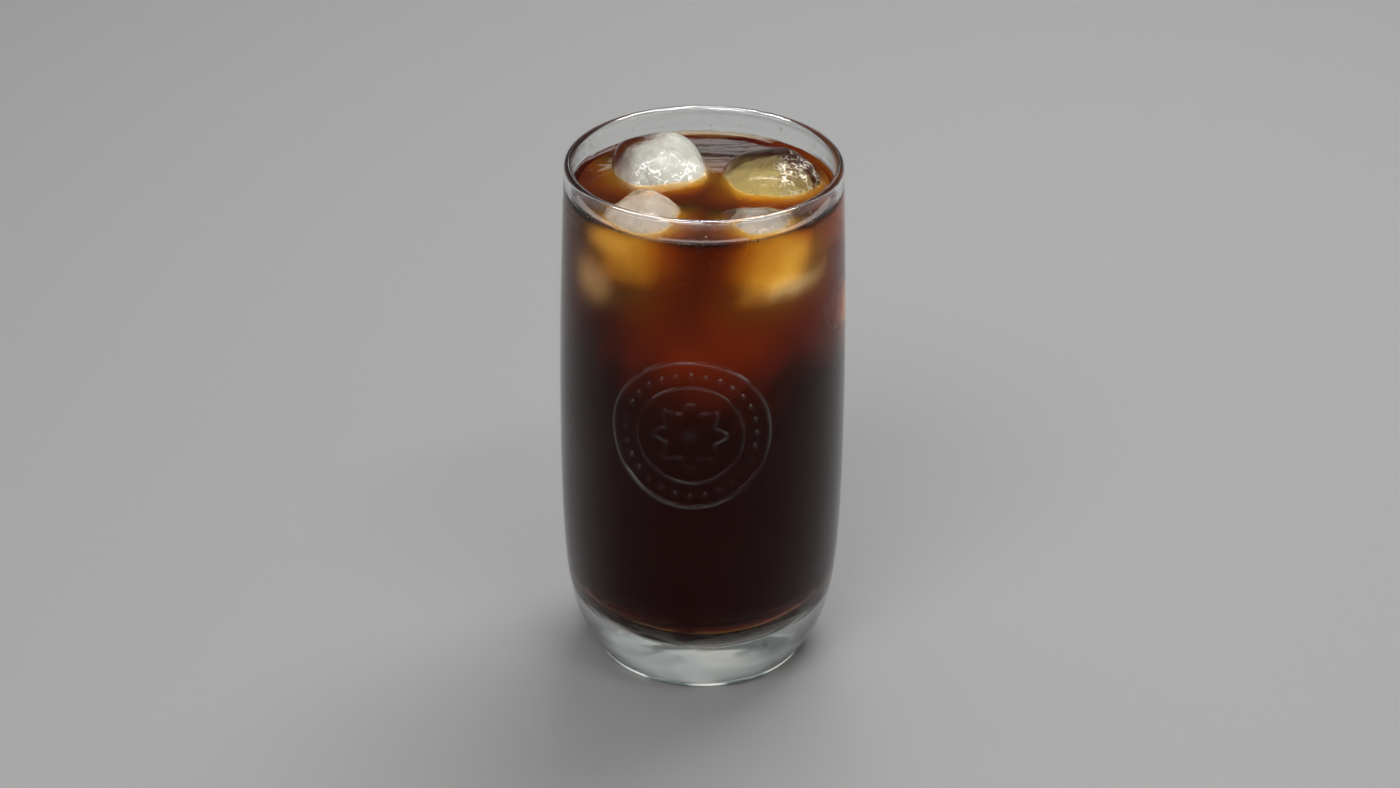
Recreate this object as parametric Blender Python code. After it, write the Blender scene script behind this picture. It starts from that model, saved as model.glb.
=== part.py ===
"""Iced americano in a barrel-shaped highball glass: glass, coffee and four ice cubes that break its surface.

Metres, +Z up. The origin is the middle of the base, on the surface that the glass stands on.
"""

import math

import bmesh
import bpy
from mathutils import Matrix, Vector

MM = 0.001

# --- Driving dimensions of the glass -------------------------------------------------
GLASS_HEIGHT = 135 * MM
BELLY_RADIUS = 35.75 * MM
BELLY_HEIGHT = 62 * MM
RIM_RADIUS = 34.0 * MM
HEEL_INSET = 8.9 * MM  # how far the heel pulls in at the very bottom
HEEL_LENGTH = 9.8 * MM  # the height over which that inset fades to a third
FOOT_FILLET = 1.2 * MM
FOOT_RING_WIDTH = 3.2 * MM
PUNT_DEPTH = 1.4 * MM  # the shallow dome under the base
WALL = 1.8 * MM
WALL_GAIN = 1.8 * MM  # the extra wall low on the side, where the glass is thicker
FLOOR_HEIGHT = 8.8 * MM
CORNER_HEIGHT = 22 * MM  # the inside bends from floor to wall over this height
CORNER_POWER = 2.0  # 2 is an ellipse, more is squarer

# --- The drink -----------------------------------------------------------------------
FILL_HEIGHT = 128 * MM
GAP = 0.3 * MM  # clearance that touching solids keep
SURFACE_RING = 0.5  # where the flat surface has a ring of points, as a share of its radius

# --- Resolution ----------------------------------------------------------------------
TURN_STEPS = 64
SIDE_STEPS = 11
OUTER_STEPS = 15
OUTER_CROWDING = 1.6  # 1 spaces the outer wall's points evenly, more crowds them near the heel
CORNER_STEPS = 8
RIM_STEPS = 6
FILLET_STEPS = 3
PUNT_STEPS = 4
ICE_CUTS = 6

# --- The ice: middle, half sizes, turn about Z and tilt, all for a melted cube --------
ICE_POWER = 3.0  # 2 is an ellipsoid, more is squarer
ICE_LUMP = 0.45 * MM
LUMP_WAVES = (3.1, 2.7, 4.3, 2.0)  # waves along x, y and z, and how far the z wave leans with x
LUMP_SHIFTS = (1.0, -1.3, 2.2)  # how much of a cube's own phase each wave takes
LUMP_SHARE = 0.6  # of the z wave beside the other two
ICE_CUBES = {
    "ice_back_left": {
        "middle": (-11.0, 13.4, 122.9),
        "half": (12.3, 11.9, 11.5),
        "turn": 14,
        "tilt": 8,
        "phase": 0.4,
    },
    "ice_back_right": {
        "middle": (16.6, 7.2, 122.6),
        "half": (11.9, 12.4, 10.8),
        "turn": 24,
        "tilt": 5,
        "phase": 2.1,
    },
    "ice_front_left": {
        "middle": (-13.9, -13.4, 120.2),
        "half": (11.3, 12.3, 11.3),
        "turn": 42,
        "tilt": -10,
        "phase": 3.3,
    },
    "ice_front_right": {
        "middle": (13.3, -17.0, 120.0),
        "half": (11.0, 9.3, 11.1),
        "turn": 22,
        "tilt": -6,
        "phase": 5.0,
    },
}

COFFEE_COLOUR = (0.055, 0.014, 0.005, 1.0)
GLASS_COLOUR = (0.86, 0.92, 0.91, 1.0)
ICE_COLOUR = (0.86, 0.88, 0.87, 1.0)


def clear_scene():
    for obj in list(bpy.data.objects):
        bpy.data.objects.remove(obj)


def finish(name, colour, roughness):
    """A plain Principled material: colour, roughness, no metal."""
    material = bpy.data.materials.new(name)
    material.use_nodes = True
    shader = material.node_tree.nodes["Principled BSDF"]
    shader.inputs["Base Color"].default_value = colour
    shader.inputs["Roughness"].default_value = roughness
    shader.inputs["Metallic"].default_value = 0.0
    return material


# --- Outlines ------------------------------------------------------------------------
def outer_radius(z):
    """A shallow bow from belly to rim, less a heel inset that fades exponentially with height."""
    bow = (BELLY_RADIUS - RIM_RADIUS) * ((z - BELLY_HEIGHT) / (GLASS_HEIGHT - BELLY_HEIGHT)) ** 2
    return BELLY_RADIUS - bow - HEEL_INSET * math.exp(-z / HEEL_LENGTH)


def inner_radius(z):
    """The outer radius less the wall, which is a little thicker low down."""
    low = math.exp(-(z - FLOOR_HEIGHT) / (2 * CORNER_HEIGHT))
    return outer_radius(z) - WALL - WALL_GAIN * low


def cavity_outline(gap, top):
    """Points (r, z) from the floor's middle round the corner and up to top, moved inwards by gap."""
    side_start = FLOOR_HEIGHT + CORNER_HEIGHT
    reach = inner_radius(side_start) - gap
    rise = CORNER_HEIGHT - gap
    points = []
    for i in range(CORNER_STEPS + 1):
        angle = 0.5 * math.pi * i / CORNER_STEPS
        r = reach * math.sin(angle) ** (2 / CORNER_POWER)
        z = FLOOR_HEIGHT + gap + rise * (1 - math.cos(angle) ** (2 / CORNER_POWER))
        points.append((r, z))
    for i in range(1, SIDE_STEPS + 1):
        z = side_start + (top - side_start) * i / SIDE_STEPS
        points.append((inner_radius(z) - gap, z))
    return points


def rim_outline():
    """The fire-polished lip: half a circle from the inner wall over to the outer wall."""
    bead = WALL / 2
    level = GLASS_HEIGHT - bead
    middle = outer_radius(level) - bead
    angles = [math.pi * (1 - i / RIM_STEPS) for i in range(1, RIM_STEPS)]
    return [(middle + bead * math.cos(a), level + bead * math.sin(a)) for a in angles]


def outer_outline():
    """Points (r, z) down the outer wall, closer together towards the heel, and round the foot's fillet."""
    points = []
    top = GLASS_HEIGHT - WALL / 2
    for i in range(OUTER_STEPS + 1):
        z = FOOT_FILLET + (top - FOOT_FILLET) * (1 - i / OUTER_STEPS) ** OUTER_CROWDING
        points.append((outer_radius(z), z))
    foot = outer_radius(FOOT_FILLET) - FOOT_FILLET
    for i in range(1, FILLET_STEPS + 1):
        angle = -0.5 * math.pi * i / FILLET_STEPS
        points.append((foot + FOOT_FILLET * math.cos(angle), FOOT_FILLET * (1 + math.sin(angle))))
    return points


def punt_outline(ring_radius):
    """Points (r, z) from the foot ring to the middle of the shallow dome under the base."""
    edge = ring_radius - FOOT_RING_WIDTH
    shares = [1 - i / PUNT_STEPS for i in range(PUNT_STEPS + 1)]
    return [(edge * s, PUNT_DEPTH * (1 - s**2)) for s in shares]


# --- Solids --------------------------------------------------------------------------
def turned(name, outline, material):
    """A mesh object whose outline (r, z) is turned round the Z axis by a Screw modifier."""
    mesh = bpy.data.meshes.new(name)
    edges = [(i, i + 1) for i in range(len(outline) - 1)]
    mesh.from_pydata([(r, 0, z) for r, z in outline], edges, [])
    mesh.materials.append(material)
    obj = bpy.data.objects.new(name, mesh)
    bpy.context.scene.collection.objects.link(obj)
    screw = obj.modifiers.new("turn", "SCREW")
    screw.axis = "Z"
    screw.angle = 2 * math.pi
    screw.steps = screw.render_steps = TURN_STEPS
    screw.use_merge_vertices = True
    screw.merge_threshold = 0.00001
    screw.use_smooth_shade = True
    return obj


def melted_cube_point(corner, half, phase):
    """A point of the cube [-1, 1]^3 moved onto a superellipsoid, with slow lumps from sines added."""
    bent = Vector([math.tan(c * math.pi / 4) for c in corner]).normalized()
    norm = sum(abs(c) ** ICE_POWER for c in bent) ** (1 / ICE_POWER)
    on_unit = bent / norm
    along_x = LUMP_WAVES[0] * on_unit.x + LUMP_SHIFTS[0] * phase
    along_y = LUMP_WAVES[1] * on_unit.y + LUMP_SHIFTS[1] * phase
    along_z = LUMP_WAVES[2] * on_unit.z + LUMP_WAVES[3] * on_unit.x + LUMP_SHIFTS[2] * phase
    lump = math.sin(along_x) * math.cos(along_y) + LUMP_SHARE * math.sin(along_z)
    return Vector(h * c for h, c in zip(half, on_unit)) + bent * ICE_LUMP * lump


def ice_mesh(name, cube, gap=0.0):
    """A cube primitive cut into a grid, rounded point by point and set in its place in the drink."""
    half = [h * MM + gap for h in cube["half"]]
    bm = bmesh.new()
    bmesh.ops.create_cube(bm, size=2.0)
    bmesh.ops.subdivide_edges(bm, edges=bm.edges[:], cuts=ICE_CUTS, use_grid_fill=True)
    for vert in bm.verts:
        vert.co = melted_cube_point(vert.co, half, cube["phase"])
    turn = Matrix.Rotation(math.radians(cube["turn"]), 4, "Z")
    tilt = Matrix.Rotation(math.radians(cube["tilt"]), 4, "X")
    bmesh.ops.transform(bm, matrix=turn @ tilt, verts=bm.verts[:])
    bmesh.ops.triangulate(bm, faces=bm.faces[:])
    bmesh.ops.recalc_face_normals(bm, faces=bm.faces[:])
    mesh = bpy.data.meshes.new(name)
    bm.to_mesh(mesh)
    bm.free()
    mesh.shade_smooth()
    return mesh


def add_ice(name, cube, material):
    mesh = ice_mesh(name, cube)
    mesh.materials.append(material)
    obj = bpy.data.objects.new(name, mesh)
    obj.location = Vector(cube["middle"]) * MM
    bpy.context.scene.collection.objects.link(obj)
    return obj


def add_cutter(name, cube):
    """The ice grown by the gap, hidden from the build, which the coffee's Boolean takes away."""
    cutter = bpy.data.objects.new(name, ice_mesh(name, cube, GAP))
    cutter.location = Vector(cube["middle"]) * MM
    cutter.hide_render = True
    cutter.display_type = "WIRE"
    bpy.context.scene.collection.objects.link(cutter)
    return cutter


def add_glass():
    inner = cavity_outline(0.0, GLASS_HEIGHT - WALL / 2)
    outer = outer_outline()
    outline = inner + rim_outline() + outer + punt_outline(outer[-1][0])
    return turned("glass", outline, finish("clear_glass", GLASS_COLOUR, 0.03))


def add_coffee(cutters):
    outline = cavity_outline(GAP, FILL_HEIGHT)
    surface = [(0.0, FILL_HEIGHT), (SURFACE_RING * outline[-1][0], FILL_HEIGHT)]
    # The outline runs from the surface's middle outwards, down the side and in to the floor's middle.
    coffee = turned("coffee", surface + outline[::-1], finish("black_coffee", COFFEE_COLOUR, 0.05))
    for cutter in cutters:
        cut = coffee.modifiers.new("room_for_" + cutter.name, "BOOLEAN")
        cut.operation = "DIFFERENCE"
        cut.solver = "EXACT"
        cut.object = cutter
    return coffee


def main():
    clear_scene()
    add_glass()
    ice = finish("ice", ICE_COLOUR, 0.15)
    cutters = []
    for name, cube in ICE_CUBES.items():
        add_ice(name, cube, ice)
        cutters.append(add_cutter("cutter_" + name, cube))
    add_coffee(cutters)


main()
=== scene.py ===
# %% [markdown]
# # An iced americano in a barrel-sided highball glass
#
# The drink is four things inside one another: a thick-based clear glass, black coffee, ice cubes that
# float up against its surface, and the light that gets through all of them. The solids of the part are
# loaded as a frame, and every one of them is replaced here by a finer surface with a finish of its own.
# Each surface is a function of two parameters, worked out as whole numpy arrays.

# %% Load the frame
import math

import bpy
import numpy as np
from mathutils import Matrix, Vector


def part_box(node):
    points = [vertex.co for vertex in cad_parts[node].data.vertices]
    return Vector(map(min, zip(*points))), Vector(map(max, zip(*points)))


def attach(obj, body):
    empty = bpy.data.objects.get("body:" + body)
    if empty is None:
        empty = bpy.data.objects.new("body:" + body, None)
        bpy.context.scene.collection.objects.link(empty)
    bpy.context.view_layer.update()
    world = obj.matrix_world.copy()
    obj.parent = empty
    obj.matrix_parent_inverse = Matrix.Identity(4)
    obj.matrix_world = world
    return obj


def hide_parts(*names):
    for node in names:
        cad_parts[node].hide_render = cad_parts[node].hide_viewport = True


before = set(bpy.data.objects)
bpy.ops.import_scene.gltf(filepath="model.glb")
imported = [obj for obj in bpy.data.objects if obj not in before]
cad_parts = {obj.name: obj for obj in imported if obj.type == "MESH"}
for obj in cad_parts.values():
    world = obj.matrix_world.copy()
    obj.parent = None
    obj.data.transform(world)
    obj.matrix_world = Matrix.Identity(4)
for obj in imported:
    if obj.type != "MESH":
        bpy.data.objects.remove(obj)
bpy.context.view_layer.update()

print("nodes:", sorted(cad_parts))

# %% [markdown]
# ## Driving dimensions
#
# The glass is moulded: its side is a shallow bow that pulls in at the heel, its wall is even near the lip
# and thicker towards the base, and its inside ends in a deep round bowl over a thick clear base. All
# of that is a few named sizes. The height comes from the frame, the rest repeats the part's own values.

# %% Sizes of the glass and of the drink
MM = 0.001
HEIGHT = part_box("glass")[1][2]
BELLY_RADIUS = 35.75 * MM
BELLY_HEIGHT = 62 * MM
RIM_RADIUS = 34.0 * MM
HEEL_INSET = 8.9 * MM
HEEL_LENGTH = 9.8 * MM
FOOT_FILLET = 1.2 * MM
FOOT_RING_WIDTH = 3.2 * MM
PUNT_DEPTH = 1.4 * MM
WALL = 1.8 * MM
WALL_GAIN = 1.8 * MM
FLOOR_HEIGHT = 8.8 * MM
CORNER_HEIGHT = 22 * MM
CORNER_POWER = 2.0
FILL_HEIGHT = 128 * MM
LIP = 0.98 * MM
INTO_WALL = 0.2 * MM


def outer_radius(z):
    """Belly radius, less a parabola that reaches the rim's radius at the top, less a heel that fades."""
    bow = (BELLY_RADIUS - RIM_RADIUS) * ((z - BELLY_HEIGHT) / (HEIGHT - BELLY_HEIGHT)) ** 2
    return BELLY_RADIUS - bow - HEEL_INSET * np.exp(-z / HEEL_LENGTH)


def inner_radius(z):
    """Outer radius less the wall, whose extra thickness fades exponentially from the floor upwards."""
    return outer_radius(z) - WALL - WALL_GAIN * np.exp(-(z - FLOOR_HEIGHT) / (2 * CORNER_HEIGHT))


print(f"height {HEIGHT / MM:.1f} mm, belly {2 * BELLY_RADIUS / MM:.1f} mm, wall at the fill line "
      f"{(outer_radius(FILL_HEIGHT) - inner_radius(FILL_HEIGHT)) / MM:.2f} mm")

# %% [markdown]
# ## A closed surface from rings
#
# Every piece here is closed: its rings wrap round, and its first and last ring shrink to one point each.
# A grid of quads could be merged at its seam afterwards, but it is simpler to index the seam back to the
# first column, and to close each end with a fan of triangles. The signed volume then says whether
# the faces point outwards, and one flip sets them right.


# %% Helpers that turn arrays into pieces
def ring_faces(rows, columns):
    """Corner numbers of the quads between rings of points, whose last column joins the first."""
    row, column = np.meshgrid(np.arange(rows - 1), np.arange(columns), indexing="ij")
    right = (column + 1) % columns
    here, next_ring = row * columns, (row + 1) * columns
    corners = (here + column, here + right, next_ring + right, next_ring + column)
    return np.stack(corners, axis=-1).reshape(-1, 4)


def closed_faces(rows, columns):
    """The quads between the rings, and the triangles that join the first and last ring to two end points."""
    here = np.arange(columns)
    there = (here + 1) % columns
    first = np.stack([np.full(columns, rows * columns), there, here], axis=-1)
    offset = (rows - 1) * columns
    last = np.stack([np.full(columns, rows * columns + 1), offset + here, offset + there], axis=-1)
    return ring_faces(rows, columns), first, last


def signed_volume(points, triangles):
    """A sixth of the sum of each triangle's triple product: positive when the faces point outwards."""
    a, b, c = (points[triangles[:, i]] for i in range(3))
    return float(np.einsum("ij,ij->i", a, np.cross(b, c)).sum() / 6)


def add_piece(name, points, faces):
    """A smooth-shaded object at the origin from an array of points and a list of faces."""
    mesh = bpy.data.meshes.new(name)
    mesh.from_pydata(points.tolist(), [], faces)
    mesh.shade_smooth()
    piece = bpy.data.objects.new(name, mesh)
    bpy.context.scene.collection.objects.link(piece)
    return piece


def ringed_piece(name, rings, start, end):
    """A closed piece from an array of rings (rows, columns, 3) and the two points that its ends shrink to."""
    points = np.vstack([rings.reshape(-1, 3), [start, end]])
    quads, first, last = closed_faces(*rings.shape[:2])
    triangles = np.vstack([quads[:, [0, 1, 2]], quads[:, [0, 2, 3]], first, last])
    if signed_volume(points, triangles) < 0:
        quads, first, last = quads[:, ::-1], first[:, ::-1], last[:, ::-1]
    return add_piece(name, points, quads.tolist() + first.tolist() + last.tolist())


# %% Two smooth fields
def ripples(points, size, seed, waves=9):
    """A smooth uneven field: the mean of sines along random directions, whose wavelengths are near size."""
    rng = np.random.default_rng(seed)
    directions = rng.normal(size=(waves, 3))
    directions /= np.linalg.norm(directions, axis=1, keepdims=True)
    steps = directions * (2 * math.pi / (size * rng.uniform(0.7, 1.5, size=(waves, 1))))
    return np.sin(points @ steps.T + rng.uniform(0, 2 * math.pi, waves)).mean(axis=-1) * math.sqrt(waves / 4)


def smooth_step(low, high, x):
    """0 below low, 1 above high, and the cubic 3t^2 - 2t^3 between them."""
    t = np.clip((x - low) / (high - low), 0, 1)
    return t * t * (3 - 2 * t)


# %% [markdown]
# ## The camera
#
# A long lens looks down on the glass from a little under a metre. The camera's three axes are built by
# hand from its elevation, and turned by a small roll, as by a lens that isn't held quite level.

# %% Camera
LOOK_HEIGHT = 70.6 * MM
CAMERA_DISTANCE = 880 * MM
ELEVATION = math.radians(28.6)
ROLL = math.radians(0.443)
SIDE_SHIFT = -0.00163
LENS, SENSOR_WIDTH = 90, 36
NEAREST_SEEN = 50 * MM

backwards = Vector((0, -math.cos(ELEVATION), math.sin(ELEVATION)))
rightwards = Vector((1, 0, 0))
upwards = backwards.cross(rightwards)
axis_x = math.cos(ROLL) * rightwards + math.sin(ROLL) * upwards
axis_y = math.cos(ROLL) * upwards - math.sin(ROLL) * rightwards

camera = bpy.data.objects.new("camera", bpy.data.cameras.new("camera"))
camera.data.lens = LENS
camera.data.sensor_width = SENSOR_WIDTH
camera.data.shift_x = SIDE_SHIFT
camera.data.clip_start = NEAREST_SEEN
turn = Matrix((axis_x, axis_y, backwards)).transposed().to_4x4()
camera.matrix_world = Matrix.Translation(Vector((0, 0, LOOK_HEIGHT)) + backwards * CAMERA_DISTANCE) @ turn
bpy.context.scene.collection.objects.link(camera)
bpy.context.scene.camera = camera
print("camera at", [round(c, 3) for c in camera.matrix_world.translation])

# %% [markdown]
# ## Shader maths as Python
#
# A material is easier to read as an expression than as a web of nodes. `Wire` wraps one output socket:
# arithmetic on it adds Math nodes. `Finish` wraps one material, and its `node` method adds any other node.
# A few nodes come up so often that they have a short name of their own: where a point is, how high it
# is, and how rough noise is there.


# %% Wire and Finish
class Wire:
    """An output socket of a material's node. Arithmetic on it adds a Math node to the same tree."""

    def __init__(self, socket):
        self.socket = socket

    def maths(self, operation, first, second=0.0, clamp=False):
        tree = self.socket.node.id_data
        node = tree.nodes.new("ShaderNodeMath")
        node.operation = operation
        node.use_clamp = clamp
        for place, value in zip(node.inputs, (first, second)):
            if isinstance(value, Wire):
                tree.links.new(value.socket, place)
            else:
                place.default_value = value
        return Wire(node.outputs[0])

    def __add__(self, other):
        return self.maths("ADD", self, other)

    __radd__ = __add__

    def __sub__(self, other):
        return self.maths("SUBTRACT", self, other)

    def __rsub__(self, other):
        return self.maths("SUBTRACT", other, self)

    def __mul__(self, other):
        return self.maths("MULTIPLY", self, other)

    __rmul__ = __mul__

    def __truediv__(self, other):
        return self.maths("DIVIDE", self, other)

    def clamped(self):
        return self.maths("ADD", self, 0.0, clamp=True)


class Finish:
    """A material under construction: node() adds any node, and surface() and volume() close the tree."""

    def __init__(self, name):
        self.material = bpy.data.materials.new(name)
        self.material.use_nodes = True
        self.tree = self.material.node_tree
        self.tree.nodes.clear()
        self.output = self.tree.nodes.new("ShaderNodeOutputMaterial")

    def node(self, kind, settings=None, out=0, **sockets):
        """Add a node: its settings first, then the value or wire of each socket, named with _ for a space."""
        node = self.tree.nodes.new("ShaderNode" + kind)
        for key, value in (settings or {}).items():
            if key == "stops":
                for element, (place, colour) in zip(self.stops(node.color_ramp, len(value)), value):
                    element.position = place
                    element.color = colour
            else:
                setattr(node, key, value)
        for key, value in sockets.items():
            place = node.inputs[int(key[1:]) if key[1:].isdigit() else key.replace("_", " ")]
            if isinstance(value, Wire):
                self.tree.links.new(value.socket, place)
            else:
                place.default_value = value
        return Wire(node.outputs[out])

    @staticmethod
    def stops(ramp, count):
        while len(ramp.elements) < count:
            ramp.elements.new(1.0)
        return ramp.elements

    def here(self):
        return self.node("TexCoord", out="Object")

    def height(self):
        return self.node("SeparateXYZ", Vector=self.here(), out=2)

    def noise(self, scale, detail=1.0, vector=None):
        return self.node("TexNoise", Vector=vector or self.here(), Scale=scale, Detail=detail)

    def below(self, top, length):
        """1 well below a height, 0 above it, and a straight line over the length between them."""
        return ((top - self.height()) / length).clamped()

    def surface(self, shader):
        self.tree.links.new(shader.socket, self.output.inputs["Surface"])
        return self

    def volume(self, shader):
        self.tree.links.new(shader.socket, self.output.inputs["Volume"])
        return self


def put_on(piece, finish, node=None):
    """Give a piece its finish, let it ride on the part's one body, and hide the solid that it stands for."""
    piece.data.materials.clear()
    piece.data.materials.append(finish.material)
    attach(piece, "root")
    if node:
        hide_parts(node)
    print(f"{piece.name}: {len(piece.data.polygons)} faces")

# %% [markdown]
# ## The glass
#
# The glass is one outline carried round an axis: from the middle of the inner floor, round the bowl, up
# the wall, over a lip that flame has rounded, down the outside, round the foot and in under the shallow
# punt. A Screw modifier could turn it, but the front carries a moulded roundel, so the outside has to be
# a function of angle and height. The columns of the grid crowd together where the roundel is.
#
# The roundel is a generic ornament: two rings, a ring of beads, and a flower with a dome in its middle.
# Each of them is a ridge, that is a bell curve of the distance from its crest, and the highest one wins.

# %% The roundel's relief
SEAL_HEIGHT = 78.3 * MM
SEAL_TURN = math.radians(-4.5)
SEAL_RADIUS = 19.8 * MM
SEAL_PATCH = 22.4 * MM
SEAL_RELIEF = 0.45 * MM
RIDGE_WIDTH = 0.42 * MM
INNER_RING, INNER_WIDTH, INNER_SHARE = 0.66, 0.34 * MM, 0.7
BEAD_RING, BEAD_WIDTH, BEAD_SHARE = 0.83, 0.6 * MM, 0.75
BEADS = 28
PETALS, PETAL_RADIUS, PETAL_SWELL, FLOWER_SHARE = 8, 7.6 * MM, 0.17, 0.8
DOME_WIDTH = 1.6 * MM


def ridge(distance, width):
    """A rounded ridge, 1 high: a bell curve of the distance from its crest."""
    return np.exp(-((distance / width) ** 2))


def rosette(u, v):
    """A flower: the ridge along a circle whose radius swells eight times on its way round, and a dome."""
    r = np.hypot(u, v)
    petals = PETAL_RADIUS * (1 + PETAL_SWELL * np.cos(PETALS * np.arctan2(v, u)))
    return np.maximum(ridge(r - petals, RIDGE_WIDTH), ridge(r, DOME_WIDTH))


def seal_relief(u, v):
    """Two round ridges, domes between them and the flower, as a height over arc length u and height v."""
    r = np.hypot(u, v)
    inner = INNER_SHARE * ridge(r - INNER_RING * SEAL_RADIUS, INNER_WIDTH)
    rings = np.maximum(ridge(r - SEAL_RADIUS, RIDGE_WIDTH), inner)
    turn_of_bead = np.arctan2(v, u) * BEADS / (2 * math.pi)
    arc = (turn_of_bead - np.round(turn_of_bead)) * 2 * math.pi / BEADS * r
    domes = ridge(np.hypot(arc, r - BEAD_RING * SEAL_RADIUS), BEAD_WIDTH)
    return SEAL_RELIEF * np.maximum(np.maximum(rings, BEAD_SHARE * domes), FLOWER_SHARE * rosette(u, v))


print(f"the roundel's rings are {SEAL_RADIUS / MM:.1f} and {INNER_RING * SEAL_RADIUS / MM:.1f} mm in radius")


# %% The glass's outline
def bowl_outline(inset, top, corner_points=32, side_points=32):
    """Radius and height from the floor's middle up the inner wall: a superellipse quarter, then the side."""
    start = FLOOR_HEIGHT + CORNER_HEIGHT
    angle = np.linspace(0, math.pi / 2, corner_points + 1)[1:]
    r = (inner_radius(start) - inset) * np.sin(angle) ** (2 / CORNER_POWER)
    z = FLOOR_HEIGHT + inset + (CORNER_HEIGHT - inset) * (1 - np.cos(angle) ** (2 / CORNER_POWER))
    side = np.linspace(start, top, side_points + 1)[1:]
    return np.append(r, inner_radius(side) - inset), np.append(z, side)


def lip_outline(points=11):
    """A round lip: a good half of a circle, from the inner wall over to the outer wall."""
    level = HEIGHT - LIP
    middle = outer_radius(level) - LIP
    angle = np.linspace(math.radians(195), 0, points)
    return middle + LIP * np.cos(angle), level + LIP * np.sin(angle)


HEEL_TOP = 8 * MM
ROWS_OVER_SEAL, ROWS_ON_SEAL, ROWS_UNDER_SEAL, ROWS_ON_HEEL = 30, 176, 22, 14
FILLET_ROWS, PUNT_ROWS = 8, 16
FRONT_COLUMNS, BACK_COLUMNS = 180, 106
FOOT_RADIUS = outer_radius(FOOT_FILLET) - FOOT_FILLET


def outside_heights():
    """Heights down the outer wall, close together where the roundel is and again on the heel."""
    seal_low, seal_high = SEAL_HEIGHT - SEAL_PATCH, SEAL_HEIGHT + SEAL_PATCH
    return np.concatenate([
        np.linspace(HEIGHT - LIP, seal_high, ROWS_OVER_SEAL)[1:-1],
        np.linspace(seal_high, seal_low, ROWS_ON_SEAL),
        np.linspace(seal_low, HEEL_TOP, ROWS_UNDER_SEAL)[1:],
        np.linspace(HEEL_TOP, FOOT_FILLET, ROWS_ON_HEEL)[1:],
    ])


def foot_outline():
    """A quarter circle in to the foot, then a parabola up to the middle of the punt."""
    bend = np.linspace(0, -math.pi / 2, FILLET_ROWS)[1:]
    share = np.linspace(1, 0, PUNT_ROWS)[:-1]
    r = np.append(FOOT_RADIUS + FOOT_FILLET * np.cos(bend), (FOOT_RADIUS - FOOT_RING_WIDTH) * share)
    return r, np.append(FOOT_FILLET * (1 + np.sin(bend)), PUNT_DEPTH * (1 - share**2))


# %% The glass's surface
def front_and_back():
    """Angles from the roundel's middle, close together across it and wide apart round the back."""
    half_patch = SEAL_PATCH / BELLY_RADIUS
    front = np.linspace(-half_patch, half_patch, FRONT_COLUMNS)
    return np.append(front, np.linspace(half_patch, 2 * math.pi - half_patch, BACK_COLUMNS)[1:-1])


def glass_rings():
    """The outline at every angle, as rings, where the outer wall also carries the relief; and the relief."""
    inner_r, inner_z = bowl_outline(0.0, HEIGHT - 3.2 * LIP)
    lip_r, lip_z = lip_outline()
    outer_z = outside_heights()
    foot_r, foot_z = foot_outline()
    r = np.concatenate([inner_r, lip_r, outer_radius(outer_z), foot_r])
    z = np.concatenate([inner_z, lip_z, outer_z, foot_z])
    outside = np.zeros(len(r))
    outside[len(inner_r) + len(lip_r):][: len(outer_z)] = 1
    angle = front_and_back()
    along = BELLY_RADIUS * np.where(angle > math.pi, angle - 2 * math.pi, angle)[None, :]
    relief = seal_relief(along, (z - SEAL_HEIGHT)[:, None]) * outside[:, None]
    radius, angle = r[:, None] + relief, angle + SEAL_TURN
    upright = np.broadcast_to(z[:, None], radius.shape)
    return np.stack([radius * np.sin(angle), -radius * np.cos(angle), upright], -1), relief / SEAL_RELIEF


glass_surface, relief = glass_rings()
glass = ringed_piece("glass_body", glass_surface, (0, 0, FLOOR_HEIGHT), (0, 0, PUNT_DEPTH))
relief_layer = glass.data.attributes.new("relief", "FLOAT", "POINT")
relief_layer.data.foreach_set("value", np.append(relief.ravel(), [0, 0]).astype(np.float32))
print("rings and columns of the glass:", glass_surface.shape[:2])

# %% [markdown]
# Clear soda-lime glass is one Principled shader: all of its light goes through, and its IOR is 1.52. Moulded
# glass is never quite even, so a Bump node lays slow waves on the wall and stronger, closer ones on the
# thick heel, where the mould was cold and left the skin less smooth. The crests of the roundel are worn
# here and there, so the `relief` attribute times a noise gives them a clear coat that catches the light.

# %% Clear glass
GLASS_IOR = 1.52


def uneven_glass(finish, in_heel, wall_wave=0.05, heel_wave=0.14):
    """Bump of a cast surface, in mm: slow waves all over and closer ones that fade out above the heel."""
    slow, close = finish.noise(1 / (18 * MM)), finish.noise(1 / (7.5 * MM))
    waves = slow * wall_wave + close * in_heel * heel_wave
    return finish.node("Bump", Height=waves, Strength=1.0, Distance=MM)


clear = Finish("clear_glass")
in_heel, in_foot = clear.below(26 * MM, 12 * MM), clear.below(16 * MM, 9 * MM)
raised = clear.node("Attribute", {"attribute_name": "relief"}, out="Fac")
worn = (clear.noise(75.0) * 5.0 - 1.8).clamped()
clear.surface(clear.node("BsdfPrincipled", Base_Color=(0.975, 0.99, 0.983, 1), IOR=GLASS_IOR,
                         Roughness=in_heel * 0.07 + in_foot * 0.17, Transmission_Weight=1.0,
                         Specular_Tint=(0.2, 0.2, 0.2, 1), Coat_Weight=(raised * worn).clamped(),
                         Coat_Roughness=0.10, Coat_IOR=1.55, Normal=uneven_glass(clear, in_heel)))
put_on(glass, clear, "glass")
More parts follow.
